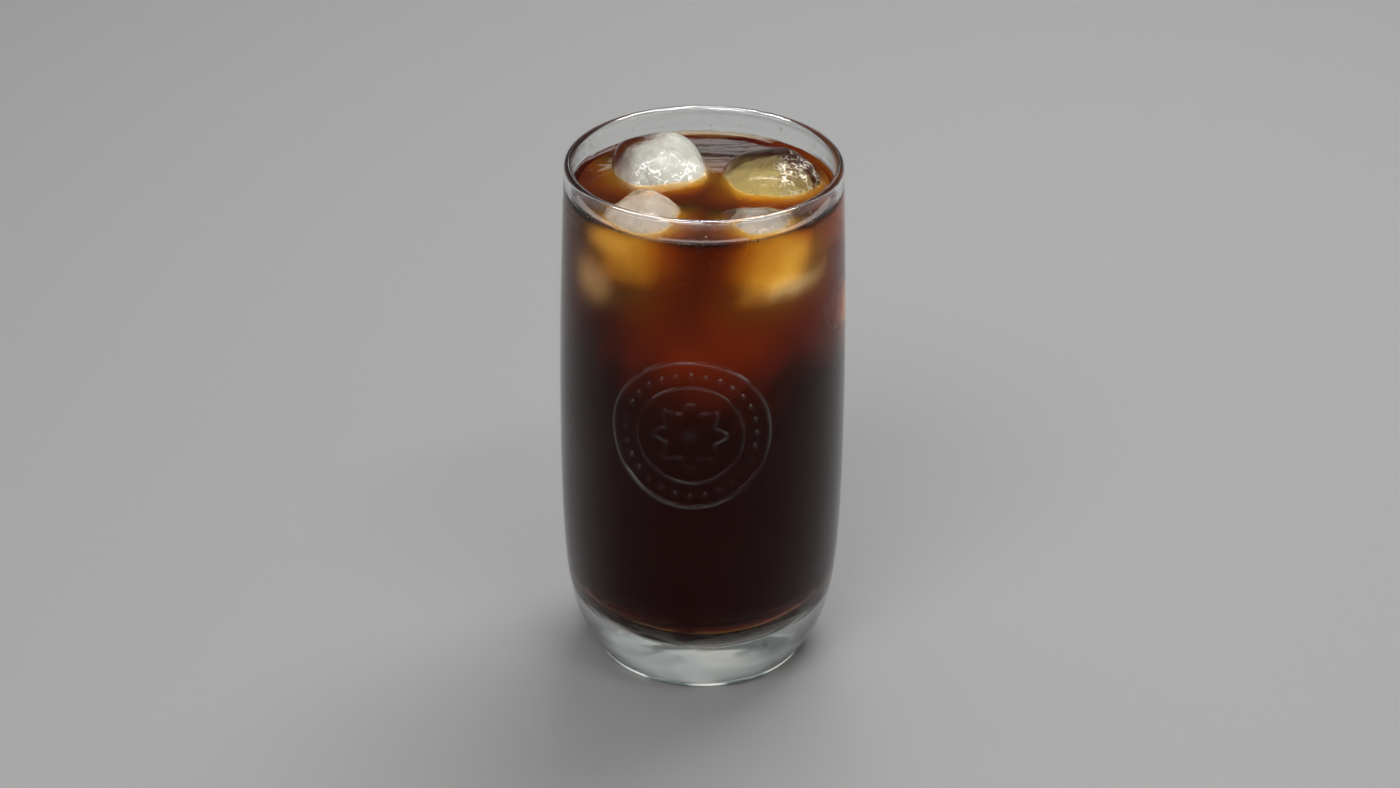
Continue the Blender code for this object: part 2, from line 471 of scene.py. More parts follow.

# %% [markdown]
# Three stretches of the same surface have a finish of their own, in material slots 1 to 3.
#
# Where coffee wets the wall there is no air to mirror in, so that stretch only refracts. The underside has
# stood on many tables, so it is frosted by scuffs, and its pale parts carry a painted glow, an emission
# for the light a real base gathers from all round. The rim stands clear of the coffee: a lower IOR keeps
# the dark outline of its lip thin, and a coat on the lip itself gives the bright line along it.

# %% Wetted wall, underside and rim
wetted = Finish("clear_glass_wetted")
wetted.surface(wetted.node("BsdfRefraction", Color=(1.0, 1.0, 1.0, 1), IOR=GLASS_IOR, Roughness=0.0))

underside = Finish("clear_glass_underside")
FROST_AND_GLOW_STOPS = [(0.41, (0.16, 0.20, 0.19, 1)), (0.49, (0.82, 0.91, 0.88, 1)), (0.58, (1.00, 0.98, 0.90, 1))]
frost_and_glow_patches = underside.node("ValToRGB", {"stops": FROST_AND_GLOW_STOPS}, Fac=underside.noise(75.0, 2.0))
# Painted glow: the pale patches are also given off as a faint emission.
frosted_and_glowing = underside.node("BsdfPrincipled", Base_Color=frost_and_glow_patches, Roughness=1.0, Specular_IOR_Level=0.0,
                         Emission_Color=frost_and_glow_patches, Emission_Strength=0.25)
polished = underside.node("BsdfPrincipled", IOR=GLASS_IOR, Roughness=0.3, Transmission_Weight=1.0)
scuffed = ((underside.noise(140.0, 3.0) - 0.5) * 1.6 + 0.85).clamped()
underside.surface(underside.node("MixShader", _0=scuffed, _1=polished, _2=frosted_and_glowing))

rim = Finish("clear_glass_rim")
lip = ((rim.height() - (HEIGHT - 2.4 * MM)) / (0.6 * MM)).clamped()
rim.surface(rim.node("BsdfPrincipled", Base_Color=(0.985, 0.995, 0.99, 1), IOR=1.3, Roughness=0.0,
                     Transmission_Weight=1.0, Coat_Weight=lip, Coat_IOR=1.9, Coat_Roughness=0.12,
                     Normal=uneven_glass(rim, 0.0)))

# %% Which faces get which finish
for finish in (wetted, underside, rim):
    glass.data.materials.append(finish.material)
HAIR = 0.1 * MM
LEVEL_AT_WALL = FILL_HEIGHT + 0.4 * MM
middles = np.empty(3 * len(glass.data.polygons))
glass.data.polygons.foreach_get("center", middles)
x, y, z = middles.reshape(-1, 3).T
from_axis = np.hypot(x, y)
is_inside = from_axis < outer_radius(z) - 0.6 * WALL
is_wet = (z > FLOOR_HEIGHT - HAIR) & (z < LEVEL_AT_WALL) & is_inside
is_under = (z < FOOT_FILLET) | ((z < PUNT_DEPTH + HAIR) & (from_axis < FOOT_RADIUS))
slots = np.select([is_wet, is_under, z > LEVEL_AT_WALL], [1, 2, 3], 0)
glass.data.polygons.foreach_set("material_index", slots.astype(np.int32))
print("faces that are clear, wetted, underneath, on the rim:", np.bincount(slots).tolist())

# %% [markdown]
# ## The ice
#
# Ice from a tray that has begun to melt is a cube with all its edges gone. The formula of such a
# shape is a superellipsoid: the sum of |x/a|^p over the three axes is 1, with p between 2 and 4. As a
# distance from the middle in any direction it is one line of numpy. Flat dents are planes that cut in
# softly: they join the same sum with a higher power. Slow lumps from sines make each cube its own, and
# one side of each is chipped: `broken` gives the chips' direction, how narrowly they keep to it, their
# number and their depth in mm.

# %% Ice cubes: middle and half sizes in mm, turn and tilt in degrees
ICE_POWER = 3.0
ICE_LUMP = 0.45 * MM
FINE_LUMP, FINE_SIZE = 0.12 * MM, 4.5 * MM
DENTS, DENT_POWER = 9, 14
ICE_CUBES = {
    "ice_back_left": {
        "middle": (-11.0, 13.4, 122.9), "half": (12.3, 11.9, 11.5), "turn": 14, "tilt": 8, "phase": 0.4,
        "broken": ((-0.1, -0.5, 0.8), 0.55, 26, 0.30)},
    "ice_back_right": {
        "middle": (16.6, 7.2, 122.6), "half": (11.9, 12.4, 10.8), "turn": 24, "tilt": 5, "phase": 2.1,
        "broken": ((0.62, -0.55, 0.55), 0.80, 90, 0.45)},
    "ice_front_left": {
        "middle": (-13.9, -13.4, 120.2), "half": (11.3, 12.3, 11.3), "turn": 42, "tilt": -10, "phase": 3.3,
        "broken": ((-0.1, 0.75, 0.5), 0.80, 60, 0.30)},
    "ice_front_right": {
        "middle": (13.3, -17.0, 120.0), "half": (11.0, 9.3, 11.1), "turn": 22, "tilt": -6, "phase": 5.0,
        "broken": ((-0.3, 0.8, 0.4), 0.80, 40, 0.10)},
    "ice_sunk_right": {
        "middle": (26.6, 2.5, 97.0), "half": (5.4, 6.5, 6.8), "turn": 33, "tilt": 12, "phase": 1.2,
        "broken": ((1.0, 0.0, 0.3), 0.80, 30, 0.30)},
}
FIRST_SEED = 11
afloat = {name for name in ICE_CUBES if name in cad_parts}
print("afloat:", sorted(afloat), "sunk:", sorted(set(ICE_CUBES) - afloat))


# %% The shape of one cube
def ball_directions(rows, columns):
    """Unit vectors of a ball's grid: rings of latitude without the poles, one column for each longitude."""
    latitude = np.linspace(math.pi / 2, -math.pi / 2, rows + 2)[1:-1, None]
    longitude = np.linspace(0, 2 * math.pi, columns, endpoint=False)[None, :]
    x = np.cos(latitude) * np.cos(longitude)
    y = np.cos(latitude) * np.sin(longitude)
    return np.stack([x, y, np.broadcast_to(np.sin(latitude), x.shape)], axis=-1)


def dent_planes(half, seed):
    """The directions of the planes that dent a cube, and how far each lies from its middle."""
    rng = np.random.default_rng(seed)
    planes = rng.normal(size=(DENTS, 3))
    planes /= np.linalg.norm(planes, axis=1, keepdims=True)
    return planes, half.mean() * rng.uniform(0.95, 1.06, DENTS)


def broken_skin(direction, cube, seed):
    """Chips on one side: the distance to the nearest of many random spots, so each spot is a small dent."""
    towards, narrow, chips, height = cube["broken"]
    towards = np.array(towards) / np.linalg.norm(towards)
    rng = np.random.default_rng(seed + 90)
    spots = rng.normal(size=(chips, 3)) * 0.35 + towards
    spots /= np.linalg.norm(spots, axis=1, keepdims=True)
    nearest = np.sqrt(np.maximum(2 - 2 * (direction @ spots.T).max(axis=-1), 0))
    on_side = smooth_step(narrow - 0.25, narrow + 0.15, direction @ towards)
    return height * MM * (nearest * math.sqrt(chips) - 1) * on_side


def ice_distance(direction, cube, seed):
    """Distance from the middle to the surface: superellipsoid, softly cut by planes, plus lumps."""
    half = np.array(cube["half"]) * MM
    plain = (np.abs(direction / half) ** ICE_POWER).sum(axis=-1) ** (-1 / ICE_POWER)
    planes, depth = dent_planes(half, seed)
    facing = np.maximum(direction @ planes.T, 0) / depth
    cut = ((1 / plain) ** DENT_POWER + (facing**DENT_POWER).sum(axis=-1)) ** (-1 / DENT_POWER)
    unit = direction * (plain[..., None] / half)
    phase = cube["phase"]
    lump = np.sin(3.1 * unit[..., 0] + phase) * np.cos(2.7 * unit[..., 1] - 1.3 * phase)
    lump = lump + 0.6 * np.sin(4.3 * unit[..., 2] + 2.0 * unit[..., 0] + 2.2 * phase)
    fine = ripples(direction * half.mean(), FINE_SIZE, seed + 50) * FINE_LUMP
    return cut + ICE_LUMP * lump + fine + broken_skin(direction, cube, seed)


# %% The cubes in their places
def attitude(cube):
    """The matrix of a cube's turn about the upright axis after its tilt about its own x axis."""
    turn, tilt = math.radians(cube["turn"]), math.radians(cube["tilt"])
    about_z = np.array([[math.cos(turn), -math.sin(turn), 0], [math.sin(turn), math.cos(turn), 0], [0, 0, 1]])
    about_x = np.array([[1, 0, 0], [0, math.cos(tilt), -math.sin(tilt)], [0, math.sin(tilt), math.cos(tilt)]])
    return about_z @ about_x


def placed(points, cube):
    """Points of a cube turned and tilted as it floats, and moved to its middle."""
    return points @ attitude(cube).T + np.array(cube["middle"]) * MM


def ice_surface(name, cube, seed, rows=150, columns=210, inset=0.0, grow=1.0):
    """The closed surface of one cube, moved inwards by inset and scaled about its middle by grow."""
    direction = ball_directions(rows, columns)
    rings = direction * (ice_distance(direction, cube, seed)[..., None] * grow - inset)
    poles = [np.array((0, 0, side)) for side in (1.0, -1.0)]
    ends = [pole * (ice_distance(pole, cube, seed) * grow - inset) for pole in poles]
    return ringed_piece(name, placed(rings, cube), *placed(np.array(ends), cube))


def ice_clearance(points, cube, seed):
    """Distance along the line to the cube's middle from each point to its surface, negative inside it."""
    local = (points - np.array(cube["middle"]) * MM) @ attitude(cube)
    reach = np.linalg.norm(local, axis=-1)
    return reach - ice_distance(local / np.maximum(reach, 1e-9)[..., None], cube, seed)


seeded_cubes = [(FIRST_SEED + place, name, cube) for place, (name, cube) in enumerate(ICE_CUBES.items())]
ice_pieces = {}
for seed, name, cube in seeded_cubes:
    if name in afloat:
        ice_pieces[name] = ice_surface(name + "_clear", cube, seed)

# %% [markdown]
# Ice is clear at its skin. The skin is a smooth dielectric with an IOR of 1.31. Two bumps share it: a fine
# melting noise, and facets, that is the distance to random points, which the light breaks on. Under the
# level the coffee soaks the skin, so its colour and its roughness change with height. The sunk cube gets
# no skin at all: coffee and clear ice bend light nearly alike, so only its cloudy middle can be seen.


# %% Ice skins
def ice_skin(name, stain, melt_height=0.6 * MM):
    """Clear ice: smooth in air, and softer and tinted by the coffee that soaks it under the level."""
    skin = Finish(name)
    melt = skin.node("TexNoise", Vector=skin.here(), Scale=420.0, Detail=3.0, Roughness=0.55)
    facets = skin.node("TexVoronoi", {"feature": "F1"}, Vector=skin.here(), Scale=1 / (6.5 * MM))
    in_air = ((skin.height() - FILL_HEIGHT) * (1 / (1.5 * MM)) + 0.5).clamped()
    sunk_deep = (FILL_HEIGHT - 14 * MM - skin.height()) / (8 * MM)
    rinsed = ((skin.noise(70.0) - 0.45) * 3 + sunk_deep).clamped()
    colour = skin.node("Mix", {"data_type": "RGBA"}, out=2, _0=(in_air + rinsed * 0.7).clamped(),
                       _6=(*stain, 1), _7=(0.97, 0.975, 0.97, 1))
    broken = skin.node("Bump", Height=melt + facets * 1.2, Strength=0.35, Distance=melt_height)
    skin.surface(skin.node("BsdfPrincipled", Base_Color=colour, Roughness=0.32 - in_air * 0.27, IOR=1.31,
                           Transmission_Weight=1.0, Specular_Tint=(0.45, 0.45, 0.45, 1), Normal=broken))
    return skin


rinsed_ice = ice_skin("ice_skin", (0.97, 0.90, 0.72))
stained_ice = ice_skin("ice_skin_stained", (0.95, 0.72, 0.13))
for name, piece in ice_pieces.items():
    put_on(piece, rinsed_ice if "back" in name else stained_ice, name)

# %% [markdown]
# Ice is cloudy in its middle, where air was squeezed out last as it froze. The cloud could be a
# scattering volume, but that is slow and an exported model loses it, so it is a few nested skins, each a
# white veil with gaps. Below the level light comes from all round, so there the veils carry a faint
# painted glow, an emission of their own tint.

# %% Cloudy middles: how much each skin is grown, and how much of it stays clear
OUTER_VEILS = ((0.95, 0.64), (0.90, 0.58), (0.84, 0.52), (0.76, 0.44), (0.66, 0.34))
DEEP_VEILS = ((0.88, 0.62), (0.80, 0.56), (0.70, 0.50), (0.58, 0.44), (0.45, 0.36))
CLOUDS = {
    "ice_back_left": {
        "towards": (0.8, -0.3, 0.1), "lean": 0.62, "cover": -0.10, "milk": 0.70, "painted_glow": 0.10,
        "tint": (0.92, 0.92, 0.88)},
    "ice_back_right": {
        "towards": (-0.3, -0.6, -0.6), "lean": 0.45, "cover": 0.03, "milk": 0.60, "painted_glow": 0.12,
        "tint": (0.91, 0.80, 0.40)},
    "ice_front_left": {
        "towards": (0.1, 0.6, 0.2), "lean": 0.10, "cover": -0.12, "milk": 0.68, "painted_glow": 0.06,
        "tint": (0.95, 0.89, 0.80)},
    "ice_front_right": {
        "towards": (0.6, -0.3, -0.8), "lean": 0.20, "cover": -0.06, "milk": 0.60, "painted_glow": 0.08,
        "tint": (0.97, 0.94, 0.88)},
    "ice_sunk_right": {
        "towards": (1.0, 0.0, 0.0), "lean": 0.20, "cover": -0.10, "milk": 0.70, "painted_glow": 0.22,
        "tint": (0.92, 0.64, 0.28)},
}


def leaning(finish, cube, towards):
    """How far a point lies to one side of a cube's middle, as a share of the cube's half size."""
    side = Vector(towards).normalized() / (max(cube["half"]) * MM)
    away = float(np.dot(side, np.array(cube["middle"]) * MM))
    dot_product = {"operation": "DOT_PRODUCT"}
    return finish.node("VectorMath", dot_product, out="Value", _0=finish.here(), _1=tuple(side)) - away


def cloud_finish(name, cube, cloud, cover, seed):
    """A white veil: shown where a noise, plus a lean towards one side of the cube, is above its cover."""
    veil = Finish(name)
    offset = veil.node("Mapping", Vector=veil.here(), Location=(seed * 0.37, seed * 0.11, 0.0))
    wisps = veil.noise(110.0, 5.0, offset)
    thick = wisps + leaning(veil, cube, cloud["towards"]) * cloud["lean"] - (cover + cloud["cover"])
    shown = (thick * 2.0 + 0.3).clamped()
    tint = (*cloud["tint"], 1)
    # Painted glow: under the level each veil gives off a faint light of its own tint.
    lit = veil.node("MixShader", _0=veil.below(FILL_HEIGHT, 3 * MM),
                    _1=veil.node("Emission", Color=(0, 0, 0, 1), Strength=0.0),
                    _2=veil.node("Emission", Color=tint, Strength=cloud["painted_glow"]))
    milk = veil.node("MixShader", _0=0.68, _1=veil.node("BsdfDiffuse", Color=tint),
                     _2=veil.node("BsdfTranslucent", Color=tint))
    body = veil.node("AddShader", _0=milk, _1=lit)
    veil.surface(veil.node("MixShader", _0=shown * cloud["milk"], _1=veil.node("BsdfTransparent"), _2=body))
    return veil


for place, (seed, name, cube) in enumerate(seeded_cubes):
    for layer, (grow, cover) in enumerate(OUTER_VEILS if "back" in name else DEEP_VEILS):
        cloud = ice_surface(f"{name}_cloud_{layer}", cube, seed, rows=60, columns=90, grow=grow)
        finish = cloud_finish(f"cloud_{name}_{layer}", cube, CLOUDS[name], cover, place + layer)
        put_on(cloud, finish, None)

# %% [markdown]
# Ice cracks as warm coffee is poured over it. The cracks are the edges between random cells, so the
# distance to the nearest edge, which Voronoi texture gives, shows them as fine lines on a skin of their
# own, on the side that they lean to. A crack sends light back out, which `glint` paints on as a faint
# emission of the line's tint.

# %% Cracks in the ice
CRACK_DEPTH = 0.972
CRACKS = {
    "ice_back_left": {
        "towards": (0.35, -0.8, 0.2), "starts": 0.60, "cell": 1.25, "width": 0.13, "show": 0.80,
        "tint": (1.0, 1.0, 1.0), "glint": 0.55},
    "ice_back_right": {
        "towards": (0.8, -0.35, 0.4), "starts": 0.46, "cell": 1.25, "width": 0.15, "show": 0.80,
        "tint": (1.0, 0.98, 0.92), "glint": 0.0},
    "ice_front_left": {
        "towards": (-0.1, 0.7, 0.7), "starts": 0.55, "cell": 1.5, "width": 0.12, "show": 0.80,
        "tint": (0.95, 0.62, 0.38), "glint": 0.15},
}


def crack_finish(name, cube, crack):
    """White lines where the distance to a cell's edge is near nothing, on one side of the cube."""
    finish = Finish(name)
    edge = finish.node("TexVoronoi", {"feature": "DISTANCE_TO_EDGE"}, Vector=finish.here(),
                       Scale=1 / (crack["cell"] * MM))
    blotches = (finish.noise(420.0, 2.0) * 7.0 - 3.1).clamped()
    on_side = ((leaning(finish, cube, crack["towards"]) - crack["starts"]) * 5).clamped()
    shown = ((crack["width"] - edge) * 30).clamped() * blotches * on_side
    tint = (*crack["tint"], 1)
    line = finish.node("MixShader", _0=0.5, _1=finish.node("BsdfDiffuse", Color=tint),
                       _2=finish.node("BsdfTranslucent", Color=tint))
    # Painted glint: each crack line also gives off a little of its own tint.
    line = finish.node("AddShader", _0=line, _1=finish.node("Emission", Color=tint, Strength=crack["glint"]))
    gap = finish.node("BsdfTransparent")
    finish.surface(finish.node("MixShader", _0=shown * crack["show"], _1=gap, _2=line))
    return finish


for seed, name, cube in seeded_cubes:
    if name in CRACKS:
        skin = ice_surface(f"{name}_cracks", cube, seed, rows=60, columns=90, grow=CRACK_DEPTH)
        put_on(skin, crack_finish(f"cracks_{name}", cube, CRACKS[name]), None)

# %% [markdown]
# ## The coffee
#
# The coffee fills the bowl and stands up a little where it wets the glass. Its surface is a height field: a
# flat level plus a rise that falls off with distance. It reaches a hair into the wall, because with no air
# between them light passes from one to the other as it does in a real drink. The ice that floats in it is
# cut out by a Boolean whose cutters are the ice shapes themselves, a hair smaller.

# %% Coffee shape
WALL_RISE = 0.5 * MM
RISE_LENGTH = 0.9 * MM
ICE_OVERLAP = 0.12 * MM
COFFEE_COLUMNS, LEVEL_RINGS, LEVEL_CROWDING = 240, 92, 0.85
SHARP_EDGE = math.radians(40)


def level_height(x, y):
    """The fill height plus what the liquid climbs at the wall, which fades exponentially away from it."""
    to_wall = inner_radius(FILL_HEIGHT) - np.hypot(x, y)
    return FILL_HEIGHT + WALL_RISE * np.exp(-np.maximum(to_wall, 0) / RISE_LENGTH)


def coffee_rings():
    """The bowl's outline carried round, then the level from the wall to the middle as rings of a disc."""
    bowl_r, bowl_z = bowl_outline(-INTO_WALL, FILL_HEIGHT + WALL_RISE, side_points=60)
    share = np.linspace(1, 0, LEVEL_RINGS)[1:-1]
    level_r = bowl_r[-1] * share**LEVEL_CROWDING
    r = np.append(bowl_r, level_r)[:, None]
    angle = np.linspace(0, 2 * math.pi, COFFEE_COLUMNS, endpoint=False)
    x, y = r * np.cos(angle), r * np.sin(angle)
    z = np.broadcast_to(np.append(bowl_z, level_r)[:, None], x.shape).copy()
    z[len(bowl_r):] = level_height(x[len(bowl_r):], y[len(bowl_r):])
    return np.stack([x, y, z], axis=-1)


middle_top = float(level_height(np.zeros(1), np.zeros(1))[0])
coffee = ringed_piece("coffee_body", coffee_rings(), (0, 0, FLOOR_HEIGHT - INTO_WALL), (0, 0, middle_top))
print(f"coffee from {(FLOOR_HEIGHT - INTO_WALL) / MM:.1f} to {(FILL_HEIGHT + WALL_RISE) / MM:.1f} mm")

# %% Room for the ice
for seed, name, cube in seeded_cubes:
    if name in afloat:
        cutter = ice_surface("cutter", cube, seed, rows=100, columns=140, inset=ICE_OVERLAP)
        cut = coffee.modifiers.new("room", "BOOLEAN")
        cut.operation = "DIFFERENCE"
        cut.solver = "MANIFOLD"
        cut.object = cutter
        with bpy.context.temp_override(object=coffee, active_object=coffee):
            bpy.ops.object.modifier_apply(modifier=cut.name)
        bpy.data.objects.remove(cutter)
coffee.data.shade_smooth()
coffee.data.set_sharp_from_angle(angle=SHARP_EDGE)
print("coffee faces after the cuts:", len(coffee.data.polygons))

# %% [markdown]
# The fines and oils that hang in coffee scatter a little light back, so it glows amber beside the ice that
# lets the light in, red a little further off, and hardly at all deep down. A scattering volume would do
# it, but it is slow and an exported model loses it. Here that glow is painted: numpy works it out at each
# point from its distance to the ice, and stores it as a colour attribute, which the finish shows as a faint
# emission. A table of spots adds painted, paler glow where a cube leans on the glass: where, how wide and
# tall, what colour.

# %% Glow in the coffee: distances in mm, angles in degrees
SIDE_GLOW = ((0.0, (0.150, 0.068, 0.0070)), (2.5, (0.120, 0.038, 0.0025)), (5.0, (0.092, 0.017, 0.0012)),
             (9.0, (0.074, 0.0080, 0.0006)), (15.0, (0.042, 0.0040, 0.0005)),
             (24.0, (0.0065, 0.0006, 0.0004)))
OPEN_GLOW = ((0.0, (0.180, 0.082, 0.0050)), (2.0, (0.200, 0.075, 0.0030)), (4.5, (0.160, 0.036, 0.0016)),
             (8.0, (0.088, 0.0145, 0.0010)), (15.0, (0.044, 0.0078, 0.0006)))
DEEP_GLOW = np.array((0.0065, 0.0006, 0.0004))
RED_ENDS = (80 * MM, 96 * MM)
DARK_SIDE = (-26 * MM, -6 * MM)
SUNK_SHADE = 4 * MM
# Painted glow: paler spots added to the coffee's emission where a cube leans on the glass.
LEAN_GLOW_SPOTS = (
    {"angle": 40, "height": 114.6, "across": 13, "along": 2.5, "colour": (0.24, 0.185, 0.090)},
    {"angle": 22, "height": 113.0, "across": 8, "along": 1.6, "colour": (0.09, 0.035, 0.003)},
    {"angle": 42, "height": 122.0, "across": 12, "along": 3.4, "colour": (0.08, 0.045, 0.003)},
    {"angle": 33, "height": 116.6, "across": 15, "along": 3.6, "colour": (0.165, 0.085, 0.004)},
    {"angle": -44, "height": 125.0, "across": 10, "along": 3.0, "colour": (0.14, 0.085, 0.016)},
    {"angle": -52, "height": 113.5, "across": 10, "along": 5.0, "colour": (0.20, 0.115, 0.045)},
    {"angle": 1, "height": 97.0, "across": 32, "along": 11.0, "colour": (0.050, 0.0045, 0.0006)},
    {"angle": 84, "height": 98.5, "across": 8, "along": 5.0, "colour": (0.13, 0.062, 0.012)},
)


def shade_by(distance, stops):
    """Colour by distance, in straight lines between the stops."""
    places, colours = zip(*stops)
    return np.stack([np.interp(distance / MM, places, channel) for channel in zip(*colours)], axis=-1)


def lean_glow(points):
    """Painted glow in paler spots where a cube leans on the glass: a bell curve of angle and height, broken
    by ripples.
    """
    angle = np.degrees(np.arctan2(points[:, 0], -points[:, 1]))
    height = points[:, 2] / MM
    uneven = ripples(points, 7 * MM, 21)
    total = np.zeros((len(points), 3))
    for lean in LEAN_GLOW_SPOTS:
        across, along = (angle - lean["angle"]) / lean["across"], (height - lean["height"]) / lean["along"]
        off = across**2 + along**2
        total += np.exp(-((off * (1 + 0.4 * uneven)) ** 1.25))[:, None] * np.array(lean["colour"])
    return total


def side_glow(points, nearest, uneven):
    """Painted glow on the wall: by distance to the nearest ice, dimmer on the left, and ending in red lower
    down.
    """
    side = shade_by(nearest * (1 + 0.25 * uneven), SIDE_GLOW)
    side *= (0.35 + 0.65 * smooth_step(*DARK_SIDE, points[:, 0]))[:, None]
    reddest = smooth_step(*RED_ENDS, points[:, 2] + 3 * MM * uneven)[:, None]
    return np.maximum(side * reddest, DEEP_GLOW) + lean_glow(points)


def open_glow(points, every, uneven):
    """Painted glow on the level: by distance to each cube, strongest on the side of it that faces the front.
    """
    away = np.array([points[:, :2] - np.array(cube["middle"][:2]) * MM for _, _, cube in seeded_cubes])
    forward = -away[..., 1] / np.maximum(np.linalg.norm(away, axis=-1), 1e-6)
    lit = 0.15 + 0.85 * smooth_step(-0.5, 0.5, forward)
    shades = [shade_by(near * (1 + 0.3 * uneven), OPEN_GLOW) for near in every]
    return np.max(np.array(shades) * lit[..., None], axis=0)


# %% Glow at every point of the coffee
def coffee_glow(points):
    """The side's glow on the wall, the level's on the open surface, else hardly any; and what is open."""
    every = np.maximum([ice_clearance(points, cube, seed) for seed, _, cube in seeded_cubes], 0)
    every[-1] += SUNK_SHADE
    uneven = ripples(points, 14 * MM, 7)
    height = points[:, 2]
    to_wall = inner_radius(height) + INTO_WALL - np.hypot(points[:, 0], points[:, 1])
    on_wall = (to_wall < 0.1 * MM) & (height > RED_ENDS[0] - 10 * MM)
    under_level = smooth_step(0.1 * MM, 0.9 * MM, FILL_HEIGHT - height)[:, None]
    is_open = (height > FILL_HEIGHT - 0.06 * MM) & (to_wall > 1.7 * MM)
    colour = np.where(is_open[:, None], open_glow(points, every, uneven), DEEP_GLOW)
    colour = np.where(on_wall[:, None], side_glow(points, every.min(axis=0), uneven) * under_level, colour)
    return colour, is_open


places = np.empty(3 * len(coffee.data.vertices))
coffee.data.vertices.foreach_get("co", places)
glow_colour, is_open = coffee_glow(places.reshape(-1, 3))
glow_layer = coffee.data.attributes.new("glow", "FLOAT_COLOR", "POINT")
glow_layer.data.foreach_set("color", np.column_stack([glow_colour, np.ones(len(glow_colour))]).ravel())
open_layer = coffee.data.attributes.new("open_surface", "FLOAT", "POINT")
open_layer.data.foreach_set("value", is_open.astype(np.float32))
print("coffee points:", len(glow_colour), "of which on the open surface:", int(is_open.sum()))

# %% [markdown]
# Coffee has no colour of its own at its surface: its colour is what is left of the light after some
# length of it. Blue goes within a millimetre or two, green within a few, red lasts longest, so a thin
# layer is amber, a thicker one red-brown and the middle of the glass nearly black. A Volume Absorption
# node does exactly that, with plain numbers on its sockets. Only the open surface has air to mirror in,
# so the Specular Tint is nothing and a clear coat, by the same attribute, does the mirroring there.

# %% Coffee finish
WATER_IOR = 1.333
brew = Finish("black_coffee")
# The glow attribute is painted light, shown by the coffee's Emission Color.
glow = brew.node("Attribute", {"attribute_name": "glow"}, out="Color")
open_surface = brew.node("Attribute", {"attribute_name": "open_surface"}, out="Fac")
streaks = brew.noise(130.0, 1.0, brew.node("Mapping", Vector=brew.here(), Scale=(1.0, 3.5, 1.0)))
backwards_by = brew.node("SeparateXYZ", Vector=brew.here(), out=1)
far_side = ((backwards_by - 8 * MM) / (14 * MM)).clamped()
swell = streaks * open_surface * (far_side * 0.9 + 0.1)
brew.surface(brew.node("BsdfPrincipled", Base_Color=(1.0, 0.99, 0.97, 1), Roughness=0.0, IOR=WATER_IOR,
                       Normal=brew.node("Bump", Height=swell, Strength=1.0, Distance=0.05 * MM),
                       Transmission_Weight=1.0, Specular_Tint=(0.0, 0.0, 0.0, 1),
                       Coat_Weight=open_surface * 0.5, Coat_Roughness=0.0, Coat_IOR=WATER_IOR,
                       Emission_Color=glow, Emission_Strength=1.0))
brew.volume(brew.node("VolumeAbsorption", Color=(0.79, 0.60, 0.0, 1), Density=850.0))
put_on(coffee, brew, "coffee")

# %% [markdown]
# A few small things are left on the glass by pouring: bubbles along the line where coffee meets the wall,
# and droplets on the wall above it. Each is a small ball that sits a little into the wall. All of them are
# one piece, so the same ball is moved and scaled by whole arrays, and only its corner numbers are shifted.

# %% Bubbles and droplets
BUBBLES, DROPLETS = 34, 26
BUBBLE_SIZES, DROPLET_SIZES = (0.14 * MM, 0.30 * MM), (0.14 * MM, 0.36 * MM)


def small_balls(name, centres, sizes, rows=9, columns=14):
    """Many balls in one piece: the same faces each time, with their corner numbers shifted."""
    ball = np.vstack([ball_directions(rows, columns).reshape(-1, 3), [(0, 0, 1), (0, 0, -1)]])
    points = centres[:, None, :] + ball[None, :, :] * sizes[:, None, None]
    faces = []
    for shift in np.arange(len(centres)) * len(ball):
        for part in closed_faces(rows, columns):
            faces += (part + shift)[:, ::-1].tolist()
    return add_piece(name, points.reshape(-1, 3), faces)


def wall_spots(rng, count, low, high, sizes):
    """Places against the inner wall at random angles and heights, and their sizes."""
    angle = rng.uniform(0, 2 * math.pi, count)
    height = rng.uniform(low, high, count)
    size = rng.uniform(*sizes, count)
    r = inner_radius(height) - 0.55 * size
    return np.stack([r * np.sin(angle), -r * np.cos(angle), height], axis=-1), size


rng = np.random.default_rng(5)
bubble_line = (FILL_HEIGHT + 0.2 * MM, FILL_HEIGHT + 0.6 * MM)
line_places, line_sizes = wall_spots(rng, BUBBLES, *bubble_line, BUBBLE_SIZES)
drop_places, drop_sizes = wall_spots(rng, DROPLETS, FILL_HEIGHT + 1.5 * MM, HEIGHT - 2.6 * MM, DROPLET_SIZES)
ball_places, ball_sizes = np.vstack([line_places, drop_places]), np.append(line_sizes, drop_sizes)
bubbles = small_balls("bubbles_and_droplets", ball_places, ball_sizes)

droplet = Finish("droplets")
TINGE_STOPS = [(0.4, (1, 1, 1, 1)), (0.6, (0.93, 0.80, 0.60, 1))]
tinge = droplet.node("ValToRGB", {"stops": TINGE_STOPS}, Fac=droplet.noise(200.0))
droplet.surface(droplet.node("BsdfPrincipled", Base_Color=tinge, Roughness=0.0, IOR=WATER_IOR,
                             Transmission_Weight=1.0))
put_on(bubbles, droplet, None)

# %% [markdown]
# ## The stage
#
# A plain pale floor, so large that its edge stays out of sight from above.

# %% Floor
floor_paint = Finish("floor_paint")
floor_paint.surface(floor_paint.node("BsdfPrincipled", Base_Color=(0.22, 0.219, 0.216, 1), Roughness=0.8))
FLOOR_REACH = 4.0
corners = np.array([(-1, -1, 0), (1, -1, 0), (1, 1, 0), (-1, 1, 0)]) * FLOOR_REACH
floor = add_piece("floor", corners, [(0, 1, 2, 3)])
floor.data.materials.append(floor_paint.material)

